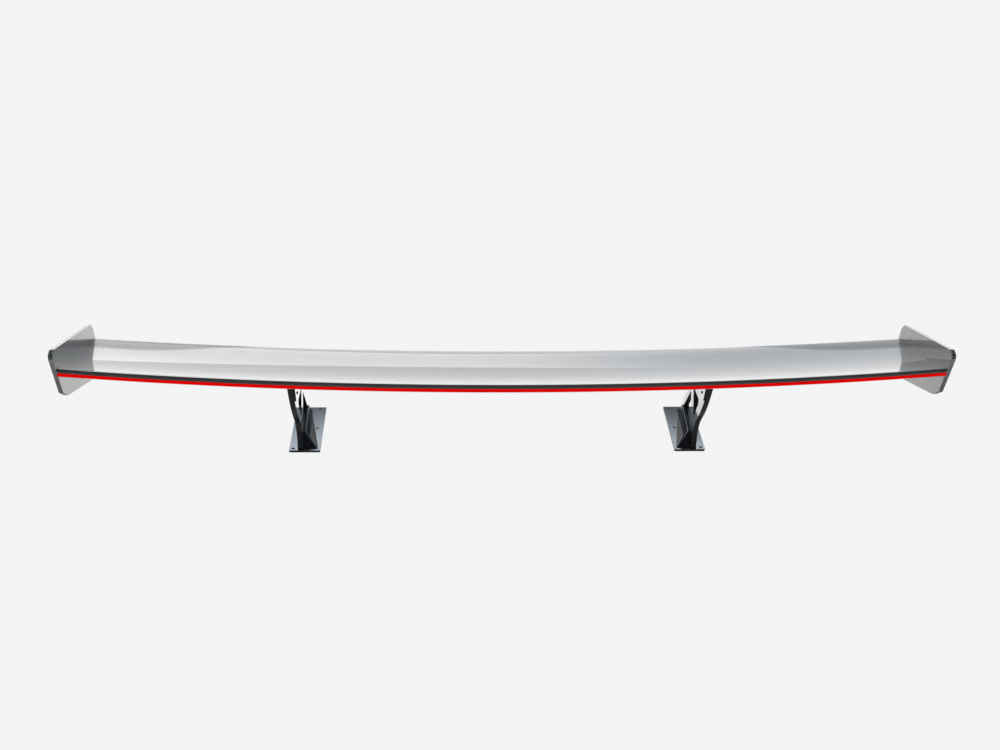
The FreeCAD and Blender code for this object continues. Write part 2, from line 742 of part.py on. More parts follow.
def build_ends():
    save_pair("end_rib", make_end_rib())
    save_group("end_inserts", both_sides([make_insert_right(p) for p in end_screw_places()]))
    save_pair("endplate", make_endplate())
    save_group("endplate_screws", both_sides(make_endplate_screws_right()))


def build_light():
    save("light_channel", make_light_channel())
    save("light_board", make_light_board())
    save_group("light_leds", make_leds())
    save("light_lens", make_lens())
    save_group("light_end_caps", make_light_end_caps())
    save("lead_grommet", make_grommet())


def build_stands():
    save_pair("foot", make_foot())
    save_pair("foot_gasket", make_gasket())
    save_pair("upright", make_upright())
    save_group("foot_inserts", both_sides(make_foot_inserts_right()))
    save_group("foot_screws", both_sides(make_foot_screws_right()))


def build_hardware():
    save_group("pivot_bolts", both_sides([make_pivot_bolt()]))
    save_group("pivot_washers", both_sides([make_pivot_washer()]))
    save_group("pivot_nuts", both_sides([make_pivot_nut()]))
    save_group("pivot_bushes", both_sides([make_pivot_bush()]))
    save_group("clamp_screws", both_sides([make_clamp_screw()]))
    save_group("clamp_washers", both_sides([make_clamp_washer()]))
    save_group("clamp_nuts", both_sides([make_clamp_nut()]))


os.makedirs("parts", exist_ok=True)
build_aerofoil()
build_ends()
build_light()
build_stands()
build_hardware()
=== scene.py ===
"""Racing rear wing: visual model, finishes and studio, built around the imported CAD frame.

All lengths are metres in the frame of the CAD model: +X right seen from behind, +Y forward,
+Z up, with the origin on the deck under the middle of the wing's box.
"""

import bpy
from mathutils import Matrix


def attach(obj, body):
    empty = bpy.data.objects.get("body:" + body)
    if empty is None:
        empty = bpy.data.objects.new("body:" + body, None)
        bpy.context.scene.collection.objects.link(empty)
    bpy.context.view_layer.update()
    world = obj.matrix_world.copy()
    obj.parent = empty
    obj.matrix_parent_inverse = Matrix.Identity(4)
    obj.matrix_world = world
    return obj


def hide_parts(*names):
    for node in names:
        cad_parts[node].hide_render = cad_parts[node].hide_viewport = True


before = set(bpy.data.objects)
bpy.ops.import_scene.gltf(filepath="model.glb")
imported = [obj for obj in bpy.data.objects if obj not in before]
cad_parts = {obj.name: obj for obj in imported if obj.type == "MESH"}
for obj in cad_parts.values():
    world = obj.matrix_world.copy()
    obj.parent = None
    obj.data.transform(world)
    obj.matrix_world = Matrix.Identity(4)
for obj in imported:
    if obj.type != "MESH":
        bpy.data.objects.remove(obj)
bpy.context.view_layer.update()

import enum
import logging
import math
from dataclasses import dataclass

import bmesh
import bpy
from mathutils import Matrix, Vector

LOG = logging.getLogger("rear_wing")
MM = 0.001
MERGE = 1e-6
HARD_ANGLE = math.radians(28.0)


# ---------------------------------------------------------------- node trees


class Weave(enum.Enum):
    """Where a pattern takes its two directions from."""

    UV = "the piece's own UV map, in metres"
    XY = "object coordinates, seen from above"
    XZ = "object coordinates, seen from behind"
    YZ = "object coordinates, seen from the side"


class Tree:
    """A node tree with short calls for the nodes that the finishes share."""

    def __init__(self, tree: bpy.types.NodeTree) -> None:
        """Start from an emptied tree."""
        self.tree = tree
        tree.nodes.clear()

    def add(self, kind: str, **settings: object) -> bpy.types.Node:
        """Add one node.

        Args:
            kind: Blender's name of the node type, without its ShaderNode prefix.
            settings: attributes of the node.

        Returns:
            The node.
        """
        node = self.tree.nodes.new("ShaderNode" + kind)
        for name, value in settings.items():
            setattr(node, name, value)
        return node

    def put(self, socket: bpy.types.NodeSocket, value: object) -> None:
        """Link an output to a socket, or set a constant on it."""
        if isinstance(value, bpy.types.NodeSocket):
            self.tree.links.new(value, socket)
        else:
            socket.default_value = value

    def math(self, operation: str, *values: object, clamp: bool = False) -> bpy.types.NodeSocket:
        """Work out one number from others.

        Args:
            operation: the Math node's operation.
            values: outputs or constants, in order.
            clamp: whether the result is kept between 0 and 1.

        Returns:
            The result's socket.
        """
        node = self.add("Math", operation=operation, use_clamp=clamp)
        for socket, value in zip(node.inputs, values):
            self.put(socket, value)
        return node.outputs[0]

    def ramp(self, value: object, low: float, high: float, start: object = 0.0,
             end: object = 1.0) -> bpy.types.NodeSocket:
        """Turn a range of numbers into another, smoothly and clamped.

        Args:
            value: the number's output.
            low: where the range starts.
            high: where the range ends.
            start: the result at low.
            end: the result at high.

        Returns:
            The result's socket.
        """
        node = self.add("MapRange", interpolation_type="SMOOTHSTEP", clamp=True)
        for name, item in (("Value", value), ("From Min", low), ("From Max", high),
                           ("To Min", start), ("To Max", end)):
            self.put(node.inputs[name], item)
        return node.outputs["Result"]

    def blend(self, factor: object, first: object, second: object) -> bpy.types.NodeSocket:
        """Mix two colours.

        Args:
            factor: how much of the second one.
            first: output or RGBA tuple.
            second: output or RGBA tuple.

        Returns:
            The colour's socket.
        """
        node = self.add("Mix", data_type="RGBA")
        for index, item in ((0, factor), (6, first), (7, second)):
            self.put(node.inputs[index], item)
        return node.outputs[2]

    def noise(self, place: object, scale: float, detail: float = 3.0) -> bpy.types.NodeSocket:
        """Make soft random variation.

        Args:
            place: the coordinates' output, in metres.
            scale: cycles per metre.
            detail: how many finer layers.

        Returns:
            The value's socket, about 0.5 on average.
        """
        node = self.add("TexNoise")
        self.put(node.inputs["Vector"], place)
        self.put(node.inputs["Scale"], scale)
        self.put(node.inputs["Detail"], detail)
        return node.outputs[0]

    def stretched(self, place: object, scale: tuple[float, float, float]) -> bpy.types.NodeSocket:
        """Scale coordinates differently along each axis."""
        node = self.add("Mapping")
        self.put(node.inputs["Vector"], place)
        self.put(node.inputs["Scale"], scale)
        return node.outputs[0]

    def bump(self, height: object, distance: float, strength: float = 1.0) -> bpy.types.NodeSocket:
        """Turn a height from 0 to 1 into a normal.

        Args:
            height: the height's output.
            distance: metres that a height of 1 stands for.
            strength: share of the effect.

        Returns:
            The normal's socket.
        """
        node = self.add("Bump")
        self.put(node.inputs["Height"], height)
        self.put(node.inputs["Distance"], distance)
        self.put(node.inputs["Strength"], strength)
        return node.outputs[0]

    def flat(self, weave: Weave) -> tuple[bpy.types.NodeSocket, bpy.types.NodeSocket]:
        """Give the two directions that a pattern runs in.

        Args:
            weave: where they come from.

        Returns:
            The two coordinates' sockets, in metres.
        """
        coordinates = self.add("TexCoord")
        split = self.add("SeparateXYZ")
        self.put(split.inputs[0], coordinates.outputs["UV" if weave is Weave.UV else "Object"])
        first, second = {Weave.UV: (0, 1), Weave.XY: (0, 1), Weave.XZ: (0, 2),
                         Weave.YZ: (1, 2)}[weave]
        return split.outputs[first], split.outputs[second]

    def place(self) -> bpy.types.NodeSocket:
        """Give the object coordinates."""
        return self.add("TexCoord").outputs["Object"]


@dataclass(frozen=True)
class Finish:
    """What every finish has: a name, and a way to make its material once."""

    name: str

    def material(self) -> bpy.types.Material:
        """Make the material, or find the one made before.

        Returns:
            The material.
        """
        found = bpy.data.materials.get(self.name)
        if found is None:
            found = bpy.data.materials.new(self.name)
            found.use_nodes = True
            tree = Tree(found.node_tree)
            shader = tree.add("BsdfPrincipled")
            out = tree.add("OutputMaterial")
            tree.put(out.inputs["Surface"], shader.outputs[0])
            self.shade(tree, shader)
        return found

    def shade(self, tree: Tree, shader: bpy.types.Node) -> None:
        """Set the shader's sockets; each finish has its own."""
        raise NotImplementedError

    def dress(self, piece: bpy.types.Object) -> None:
        """Give the whole piece this finish."""
        if not piece.data.materials:
            piece.data.materials.append(None)
        for index in range(len(piece.data.materials)):
            piece.data.materials[index] = self.material()


def settings(shader: bpy.types.Node, **values: object) -> None:
    """Set constants on a shader's sockets.

    Args:
        shader: the Principled node.
        values: socket names with _ for spaces, and their values.
    """
    for name, value in values.items():
        shader.inputs[name.replace("_", " ")].default_value = value


@dataclass(frozen=True)
class TwillCarbon(Finish):
    """Two-over-two twill of flat tows under a clear coat."""

    weave: Weave = Weave.UV
    tow: float = 0.0014
    dark: tuple[float, float, float, float] = (0.004, 0.005, 0.006, 1.0)
    light: tuple[float, float, float, float] = (0.19, 0.20, 0.205, 1.0)
    grazing: float = 0.5
    milky: float = 0.45
    roughness: float = 0.30
    crown: float = 0.00010
    coat: float = 1.0
    coat_roughness: float = 0.03
    over_light: float = 0.6
    over_crown: float = 0.3
    under_crown: float = 0.06
    filament_scale: float = 2600.0
    filament_light: float = 0.24
    filament_gloss: float = 0.14
    drift_scale: float = 9.0
    drift_light: float = 0.16
    ripple_scale: float = 55.0
    ripple: float = 0.00002

    def shade(self, tree: Tree, shader: bpy.types.Node) -> None:
        """Draw the tows with their crowns, fine filaments, and a faint unevenness of the resin."""
        across, along = tree.flat(self.weave)
        u = tree.math("DIVIDE", across, self.tow)
        v = tree.math("DIVIDE", along, self.tow)
        steps = tree.math("ADD", tree.math("FLOOR", u), tree.math("FLOOR", v))
        over = tree.math("LESS_THAN", tree.math("FLOORED_MODULO", steps, 4.0), 1.5)
        crowns = []
        for tows in (u, v):
            centred = tree.math("MULTIPLY_ADD", tree.math("FRACT", tows), 2.0, -1.0)
            crowns.append(tree.math("SUBTRACT", 1.0, tree.math("MULTIPLY", centred, centred)))
        pick = tree.add("Mix", data_type="FLOAT")
        tree.put(pick.inputs[0], over)
        tree.put(pick.inputs[2], crowns[1])
        tree.put(pick.inputs[3], crowns[0])
        crown = pick.outputs[0]
        place = tree.place()
        filament = tree.noise(place, self.filament_scale, 1.0)
        drift = tree.noise(place, self.drift_scale, 2.0)
        lifted = tree.math("MULTIPLY", over, tree.math("MULTIPLY_ADD", crown, self.over_crown,
                                                       self.over_light))
        shade = tree.math("MULTIPLY_ADD", crown, self.under_crown, lifted)
        shade = tree.math("ADD", shade, tree.math("MULTIPLY_ADD", filament, self.filament_light,
                                                  -self.filament_light / 2.0))
        shade = tree.math("ADD", shade, tree.math("MULTIPLY_ADD", drift, self.drift_light,
                                                  -self.drift_light / 2.0), clamp=True)
        tree.put(shader.inputs["Base Color"], tree.blend(shade, self.dark, self.light))
        gloss = tree.math("MULTIPLY_ADD", filament, self.filament_gloss,
                          self.roughness - self.filament_gloss / 2.0)
        tree.put(shader.inputs["Roughness"], gloss)
        tree.put(shader.inputs["Normal"], tree.bump(crown, self.crown, 0.55))
        ripple = tree.noise(place, self.ripple_scale, 2.0)
        tree.put(shader.inputs["Coat Normal"], tree.bump(ripple, self.ripple, 0.5))
        tree.put(shader.inputs["Metallic"], tree.math("MULTIPLY_ADD", over, -self.milky, 1.0))
        edge = self.grazing
        settings(shader, Coat_Weight=self.coat, Coat_IOR=1.5,
                 Coat_Roughness=self.coat_roughness, Specular_Tint=(edge, edge, edge, 1.0))


@dataclass(frozen=True)
class NoseShadeTwill(TwillCarbon):
    """Wing twill with painted shade along the nose: the lacquer is thinned in a band that widens to
    the tips.
    """

    band_inner_x: float = 0.40
    band_outer_x: float = 0.70
    band_width: float = 0.072
    band_start: float = 0.004
    band_soft: float = 0.010
    nose_shade_coat: float = 0.43

    def shade(self, tree: Tree, shader: bpy.types.Node) -> None:
        """Draw the twill, and thin the lacquer as painted shade within the band's length of cloth
        from the nose.
        """
        super().shade(tree, shader)
        across, along = tree.flat(Weave.UV)
        width = tree.ramp(tree.math("ABSOLUTE", across), self.band_inner_x, self.band_outer_x,
                          self.band_start, self.band_width)
        past = tree.math("SUBTRACT", along, width)
        # Painted shade: the thinner lacquer dims the nose's reflection in this band.
        tree.put(shader.inputs["Coat Weight"],
                 tree.ramp(past, -self.band_soft, self.band_soft, self.nose_shade_coat, self.coat))


@dataclass(frozen=True)
class FootTwill(TwillCarbon):
    """Stand twill with full lacquer on the base plate and a satin wedge above it."""

    plate_top: float = 0.005
    satin_coat: float = 0.06
    fade_from: float = 0.0001
    fade_to: float = 0.0006

    def shade(self, tree: Tree, shader: bpy.types.Node) -> None:
        """Draw the twill, and thin the lacquer above the base plate."""
        super().shade(tree, shader)
        split = tree.add("SeparateXYZ")
        tree.put(split.inputs[0], tree.place())
        tree.put(shader.inputs["Coat Weight"],
                 tree.ramp(split.outputs[2], self.plate_top + self.fade_from,
                           self.plate_top + self.fade_to, self.coat, self.satin_coat))


@dataclass(frozen=True)
class Metal(Finish):
    """Bare, plated or anodised metal with fine marks of how it was made."""

    colour: tuple[float, float, float, float] = (0.6, 0.6, 0.6, 1.0)
    roughness: float = 0.3
    grain: float = 900.0
    stretch: tuple[float, float, float] = (1.0, 1.0, 1.0)
    depth: float = 0.00002
    metallic: float = 1.0
    coat: float = 0.0

    def shade(self, tree: Tree, shader: bpy.types.Node) -> None:
        """Vary colour and gloss along the grain, with blotches of wear on top."""
        place = tree.place()
        grain = tree.noise(tree.stretched(place, self.stretch), self.grain, 4.0)
        blotch = tree.noise(place, 60.0, 3.0)
        worn = tuple(min(1.0, c * 1.35 + 0.01) for c in self.colour[:3]) + (1.0,)
        dull = tuple(c * 0.72 for c in self.colour[:3]) + (1.0,)
        mixed = tree.math("ADD", tree.math("MULTIPLY", grain, 0.6),
                          tree.math("MULTIPLY", blotch, 0.4), clamp=True)
        tree.put(shader.inputs["Base Color"], tree.blend(mixed, dull, worn))
        rough = tree.math("MULTIPLY_ADD", mixed, 0.24, self.roughness - 0.12, clamp=True)
        tree.put(shader.inputs["Roughness"], rough)
        tree.put(shader.inputs["Normal"], tree.bump(grain, self.depth, 0.6))
        settings(shader, Metallic=self.metallic, Coat_Weight=self.coat)


@dataclass(frozen=True)
class Moulded(Finish):
    """Rubber, plastic or circuit board: a fine grained skin with a dusty haze."""

    colour: tuple[float, float, float, float] = (0.02, 0.02, 0.02, 1.0)
    roughness: float = 0.6
    grain: float = 1500.0
    depth: float = 0.00004
    haze: float = 0.5

    def shade(self, tree: Tree, shader: bpy.types.Node) -> None:
        """Vary the colour with dust, and the gloss and height with the moulded grain."""
        place = tree.place()
        grain = tree.noise(place, self.grain, 3.0)
        dust = tree.noise(place, 35.0, 4.0)
        pale = tuple(min(1.0, c * 1.6 + 0.012) for c in self.colour[:3]) + (1.0,)
        amount = tree.ramp(dust, 0.35, 0.75, 0.0, self.haze)
        tree.put(shader.inputs["Base Color"], tree.blend(amount, self.colour, pale))
        rough = tree.math("MULTIPLY_ADD", grain, 0.2, self.roughness - 0.1, clamp=True)
        tree.put(shader.inputs["Roughness"], rough)
        tree.put(shader.inputs["Normal"], tree.bump(grain, self.depth, 0.7))


@dataclass(frozen=True)
class RedAcrylic(Finish):
    """Deep red diffusing acrylic with faint flow lines along the strip."""

    colour: tuple[float, float, float, float] = (0.86, 0.0003, 0.0003, 1.0)
    glow: float = 0.42

    def shade(self, tree: Tree, shader: bpy.types.Node) -> None:
        """Vary the red along the strip, as the light behind it and the moulding do."""
        place = tree.place()
        flow = tree.noise(tree.stretched(place, (0.05, 1.0, 1.0)), 420.0, 2.0)
        deep = (self.colour[0] * 0.88, self.colour[1], self.colour[2], 1.0)
        tree.put(shader.inputs["Base Color"], tree.blend(flow, deep, self.colour))
        tree.put(shader.inputs["Roughness"], tree.math("MULTIPLY_ADD", flow, 0.16, 0.24))
        tree.put(shader.inputs["Normal"], tree.bump(flow, 0.00002, 0.4))
        settings(shader, Emission_Color=(1.0, 0.0, 0.0, 1.0), Emission_Strength=self.glow,
                 Specular_IOR_Level=0.05)


GLOSS_TWILL = TwillCarbon("gloss twill on the wing")
# Painted light: a copy of the gloss twill with paler tows, so the dim trailing edge shows lit
# stripes.
TAIL_TWILL_PAINTED_LIGHT = TwillCarbon("twill with painted light on the trailing edge", light=(0.26, 0.28, 0.27, 1.0),
                         milky=1.0)
# Painted light: a copy of the gloss twill with paler tows for the plates' rims, standing in for light
# they catch.
RIM_TWILL_PAINTED_LIGHT = TwillCarbon("twill with painted light on the plates' rims", light=(0.36, 0.38, 0.38, 1.0), milky=1.0)
NOSE_SHADE_TWILL = NoseShadeTwill("gloss twill with painted shade along the nose")
STAND_TWILL = TwillCarbon("gloss twill on the stands", light=(0.095, 0.10, 0.112, 1.0))
FOOT_TWILL = FootTwill("twill on the feet", light=(0.095, 0.10, 0.112, 1.0))
RAW_TWILL = TwillCarbon("raw twill inside", weave=Weave.XZ, coat=0.0, roughness=0.5)
SLOT_FINISHES: dict[str, Finish] = {
    "carbon_gloss": GLOSS_TWILL,
    "carbon_stand": STAND_TWILL,
    "carbon_foot": FOOT_TWILL,
    "carbon_raw": RAW_TWILL,
    "aluminium_alloy": Metal("milled aluminium", (0.62, 0.63, 0.65, 1.0), 0.32, 700.0,
                             (1.0, 0.08, 1.0)),
    "bracket_black": Metal("lacquered black bracket", (0.045, 0.047, 0.052, 1.0), 0.38, 800.0,
                           (1.0, 1.0, 0.1), coat=1.0),
    "stainless": Metal("stainless steel", (0.55, 0.55, 0.54, 1.0), 0.26, 1400.0),
    "black_screws": Metal("black oxide screws", (0.035, 0.034, 0.036, 1.0), 0.36, 1800.0),
    "zinc_steel": Metal("zinc plated steel", (0.58, 0.60, 0.62, 1.0), 0.30, 1600.0),
    "bronze": Metal("sintered bronze", (0.50, 0.30, 0.12, 1.0), 0.42, 2400.0, depth=0.00005),
    "channel_black": Moulded("black moulded channel", (0.016, 0.016, 0.017, 1.0), 0.5),
    "circuit_board": Moulded("green circuit board", (0.01, 0.09, 0.04, 1.0), 0.35, 900.0),
    "led_red": Moulded("red light sources", (0.55, 0.02, 0.015, 1.0), 0.25, 2500.0, 0.00001),
    "red_lens": RedAcrylic("red acrylic lens"),
    "rubber_black": Moulded("black rubber", (0.018, 0.018, 0.018, 1.0), 0.72, 1200.0, 0.00006),
}


# Painted highlight: a pale finish on the feet's flattened ridges, standing in for light caught by
# their edges.
PAINTED_EDGE_HIGHLIGHT = Metal("painted highlights on the feet's edges", (0.78, 0.80, 0.82, 1.0), 0.50, 2200.0,
                    metallic=0.2)


# ---------------------------------------------------------------- meshes


def shown(name: str, mesh: bmesh.types.BMesh, sharp: float = 30.0) -> bpy.types.Object:
    """Turn a finished bmesh into an object in the scene.

    Args:
        name: the piece's name.
        mesh: the bmesh, which is freed.
        sharp: degrees between faces past which an edge stays hard.

    Returns:
        The object, at the origin.
    """
    data = bpy.data.meshes.new(name)
    mesh.to_mesh(data)
    mesh.free()
    data.shade_smooth()
    data.set_sharp_from_angle(angle=math.radians(sharp))
    piece = bpy.data.objects.new(name, data)
    bpy.context.scene.collection.objects.link(piece)
    return piece


def soften(mesh: bmesh.types.BMesh, width: float) -> None:
    """Round the hard edges of a closed bmesh.

    Args:
        mesh: the bmesh.
        width: metres taken off each side of an edge.
    """
    hard = [e for e in mesh.edges
            if len(e.link_faces) == 2 and e.calc_face_angle(0.0) > HARD_ANGLE]
    bmesh.ops.bevel(mesh, geom=hard, offset=width, offset_type="OFFSET", segments=2,
                    profile=0.5, affect="EDGES", clamp_overlap=True, material=-1)


def unwrap_flat(mesh: bmesh.types.BMesh) -> None:
    """Lay a UV map in metres on each face from the axis that it faces most."""
    layer = mesh.loops.layers.uv.verify()
    mesh.normal_update()
    for face in mesh.faces:
        facing = [abs(value) for value in face.normal]
        axis = facing.index(max(facing))
        for loop in face.loops:
            point = loop.vert.co
            loop[layer].uv = ((point.y, point.z), (point.x, point.z), (point.x, point.y))[axis]


def place_piece(piece: bpy.types.Object, body: str, slot: str, *nodes: str) -> bpy.types.Object:
    """Tie a piece to its body and to the CAD nodes that it stands for, which it hides.

    Args:
        piece: the object.
        body: the body that it rides on.
        slot: the record's material slot; not used.
        nodes: the CAD nodes that it replaces.

    Returns:
        The same object.
    """
    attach(piece, body)
    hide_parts(*nodes)
    LOG.info("%s: %d faces, for %s", piece.name, len(piece.data.polygons), ", ".join(nodes))
    return piece


@dataclass
class Aerofoil:
    """The bowed wing section and the pieces that are swept along it."""

    half_span: float = 0.792
    chord: float = 0.2683
    nose_down: float = 15.0
    tail_y: float = -0.26682
    tail_z: float = 0.3643
    nose_bow: float = 0.0497
    tail_bow: float = 0.0575
    thickness: float = 0.10
    camber_share: float = 0.06
    tail_height: float = 0.0125
    skin: float = 0.002
    bar_depth: float = 0.011
    bar_bottom: float = -0.00095
    bar_below_skin: float = 0.00225
    lens_depth: float = 0.003
    lens_top: float = -0.00105
    columns: int = 220
    rows: int = 64
    outer_edge: float = 0.0004
    low_edge: float = 0.0003
    bar_edge: float = 0.0002

    def camber(self, s: float) -> float:
        """Height of the middle line over the chord line, at a share s of the chord."""
        return -4.0 * self.camber_share * s * (1.0 - s) * self.chord

    def half(self, s: float) -> float:
        """Half of the section's thickness at a share s of the chord from the nose."""
        curve = (0.2969 * math.sqrt(max(s, 0.0)) - 0.126 * s - 0.3516 * s**2
                 + 0.2843 * s**3 - 0.1015 * s**4)
        return 5.0 * self.thickness * curve * self.chord + s * self.tail_height / 2.0

    def top(self, s: float) -> float:
        """Height of the upper surface over the chord line."""
        return self.camber(s) + self.half(s)

    def bottom(self, s: float) -> float:
        """Height of the lower surface over the chord line."""
        return self.camber(s) - self.half(s)

    def wall(self, s: float) -> float:
        """Depth of the skin, which thins into the nose."""
        return self.skin * self.half(s) / (self.half(s) + self.skin)

    def point(self, x: float, s: float, v: float) -> Vector:
        """Place a point of the section.

        Args:
            x: metres from the middle of the span.
            s: share of the chord from the nose.
            v: metres above the chord line.

        Returns:
            The point in the frame.
        """
        bow = (x / self.half_span) ** 2
        lean = math.radians(self.nose_down)
        tail = Vector((x, self.tail_y + self.tail_bow * bow, self.tail_z))
        nose = Vector((x, self.tail_y + self.chord * math.cos(lean) + self.nose_bow * bow,
                       self.tail_z - self.chord * math.sin(lean)))
        along = tail - nose
        normal = Vector((0.0, along.z, -along.y)).normalized()
        return nose + along * s + normal * v

    def spread(self, count: int, start: float, end: float) -> list[float]:
        """Share out stations along the chord, closest together at the nose."""
        return [start + (end - start) * (1.0 - math.cos(0.5 * math.pi * i / count))
                for i in range(count + 1)]

    def sweep(self, name: str, outline: list[tuple[float, float]], edge: float, slot: str,
              finish: Finish, *nodes: str) -> bpy.types.Object:
        """Sweep a closed outline along the bowed span.

        Args:
            name: the piece's name.
            outline: the section's points as share of chord and height, in order.
            edge: rounding of the hard edges.
            slot: the record's material slot.
            finish: its finish.
            nodes: the CAD nodes that the piece stands for.

        Returns:
            The piece, dressed.
        """
        closed = outline + outline[:1]
        lengths = [0.0]
        for before, after in zip(closed, closed[1:]):
            lengths.append(lengths[-1] + math.hypot((after[0] - before[0]) * self.chord,
                                                    after[1] - before[1]))
        mesh = bmesh.new()
        bmesh.ops.create_grid(mesh, x_segments=self.columns, y_segments=len(closed) - 1, size=0.5)
        layer = mesh.loops.layers.uv.verify()
        row_of = {}
        for vert in mesh.verts:
            row = round((vert.co.y + 0.5) * (len(closed) - 1))
            x = vert.co.x * 2.0 * self.half_span
            row_of[vert] = (x, lengths[row])
            vert.co = self.point(x, *closed[row])
        for face in mesh.faces:
            for loop in face.loops:
                loop[layer].uv = row_of[loop.vert]
        bmesh.ops.remove_doubles(mesh, verts=mesh.verts[:], dist=MERGE)
        bmesh.ops.holes_fill(mesh, edges=[e for e in mesh.edges if e.is_boundary], sides=0)
        bmesh.ops.recalc_face_normals(mesh, faces=mesh.faces[:])
        spanwise = [e for e in mesh.edges if e.calc_face_angle(0.0) > HARD_ANGLE
                    and abs(e.verts[0].co.x - e.verts[1].co.x) > MM]
        bmesh.ops.bevel(mesh, geom=spanwise, offset=edge, offset_type="OFFSET", segments=3,
                        profile=0.5, affect="EDGES", clamp_overlap=True, material=-1)
        piece = shown(name, mesh)
        finish.dress(piece)
        return place_piece(piece, "wing", slot, *nodes)

    def build(self) -> None:
        """Make the two skins, the closing bar and the red lens."""
        cut = 1.0 - self.bar_depth / self.chord
        lens = 1.0 - self.lens_depth / self.chord
        out = self.spread(self.rows, 0.0, 1.0)
        back = self.spread(self.rows // 2, 0.0, 1.0)[::-1]
        self.sweep("wing_upper_skin",
                   [(s, self.top(s)) for s in out]
                   + [(s, self.top(s) - self.wall(s)) for s in back[:-1]],
                   self.outer_edge, "carbon_gloss", NOSE_SHADE_TWILL, "upper_skin")
        low = self.spread(self.rows, 0.0, cut)
        low_back = self.spread(self.rows // 2, 0.0, cut)[::-1]
        self.sweep("wing_lower_skin",
                   [(s, self.bottom(s)) for s in low]
                   + [(s, self.bottom(s) + self.wall(s)) for s in low_back[:-1]],
                   self.low_edge, "carbon_gloss", GLOSS_TWILL, "lower_skin")
        under = self.bar_below_skin
        self.sweep("wing_closing_bar",
                   [(cut, self.top(cut) - under), (1.0, self.top(1.0) - under),
                    (1.0, self.bar_bottom), (cut, self.bar_bottom)],
                   self.bar_edge, "carbon_gloss", TAIL_TWILL_PAINTED_LIGHT, "trailing_edge_bar")
        self.sweep("brake_light_lens",
                   [(lens, self.lens_top), (1.0, self.lens_top),
                    (1.0, self.bottom(1.0)), (lens, self.bottom(lens))],
                   self.outer_edge, "red_lens", SLOT_FINISHES["red_lens"], "light_lens")


@dataclass
class CutPlate:
    """A plate whose outline and holes come from the CAD node, with its edges softened."""

    node: str
    body: str
    slot: str
    finish: Finish
    edge: float = 0.0004
    # Finish of the painted highlight on the long ridges, if any.
    rubbed: Finish | None = None
    rim: Finish | None = None
    ridge: float = 0.0011
    ridge_length: float = 0.012
    ridge_angle: float = 12.0
    ridge_above: float = 0.0055
    sideways: float = 0.97
    rim_normal: float = 0.5
    flat_angle: float = 0.4

    def paint_edge_highlights(self, mesh: bmesh.types.BMesh) -> None:
        """Flatten the long ridges above the base and give them a pale finish, a painted highlight for
        light caught on those edges.
        """
        ridges = [e for e in mesh.edges if e.is_convex and e.calc_length() > self.ridge_length
                  and e.calc_face_angle(0.0) > math.radians(self.ridge_angle)
                  and sum(v.co.z for v in e.verts) > 2.0 * self.ridge_above
                  and all(abs(f.normal.x) < self.sideways for f in e.link_faces)]
        bmesh.ops.bevel(mesh, geom=ridges, offset=self.ridge, offset_type="WIDTH", segments=1,
                        profile=0.5, affect="EDGES", clamp_overlap=False, material=1)

    def tape(self, mesh: bmesh.types.BMesh) -> None:
        """Put the rim's finish, a lighter twill with painted light, on every face that does not face
        sideways.
        """
        mesh.normal_update()
        for face in mesh.faces:
            if abs(face.normal.x) < self.rim_normal:
                face.material_index = 1

    def build(self) -> bpy.types.Object:
        """Merge a copy of the node's triangles, round the hard edges and lay the cloth on it.

        Returns:
            The piece, dressed.
        """
        mesh = bmesh.new()
        mesh.from_mesh(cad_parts[self.node].data)
        bmesh.ops.remove_doubles(mesh, verts=mesh.verts[:], dist=MERGE)
        bmesh.ops.dissolve_limit(mesh, angle_limit=math.radians(self.flat_angle),
                                 verts=mesh.verts[:], edges=mesh.edges[:])
        if self.rubbed:
            self.paint_edge_highlights(mesh)
        soften(mesh, self.edge)
        if self.rim:
            self.tape(mesh)
        unwrap_flat(mesh)
        piece = shown(f"{self.node}_dressed", mesh)
        level = piece.modifiers.new("level broad faces", "WEIGHTED_NORMAL")
        level.keep_sharp = True
        level.weight = 100
        self.finish.dress(piece)
        for second in (self.rubbed, self.rim):
            if second:
                piece.data.materials.append(second.material())
        return place_piece(piece, self.body, self.slot, self.node)


@dataclass
class EndPlates:
    """The two end plates."""

    edge: float = 0.0005

    def build(self) -> None:
        """Make both plates."""
        for side in ("left", "right"):
            CutPlate(f"endplate_{side}", "wing", "carbon_gloss", GLOSS_TWILL, self.edge,
                     rim=RIM_TWILL_PAINTED_LIGHT).build()


@dataclass
class Stands:
    """The uprights, the feet and the wing's brackets on both sides."""

    edge: float = 0.0005
    bracket_edge: float = 0.0003

    def build(self) -> None:
        """Make every plate of both stands."""
        for side in ("left", "right"):
            CutPlate(f"upright_{side}", "stands", "carbon_stand", STAND_TWILL, self.edge).build()
            CutPlate(f"foot_{side}", "stands", "carbon_foot", FOOT_TWILL, self.edge,
                     PAINTED_EDGE_HIGHLIGHT).build()
            CutPlate(f"wing_bracket_{side}", "wing", "bracket_black",
                     SLOT_FINISHES["bracket_black"], self.bracket_edge).build()


@dataclass
class Hardware:
    """The CAD nodes that keep their own shape and only need their finish."""

    def build(self) -> None:
        """Dress every node from its material slot, whether or not a piece stands for it."""
        for name, node in sorted(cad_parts.items()):
            slot = node.material_slots[0].material.name.split(".")[0]
            SLOT_FINISHES[slot].dress(node)
            LOG.info("%s: %s", name, SLOT_FINISHES[slot].name)


# ---------------------------------------------------------------- studio


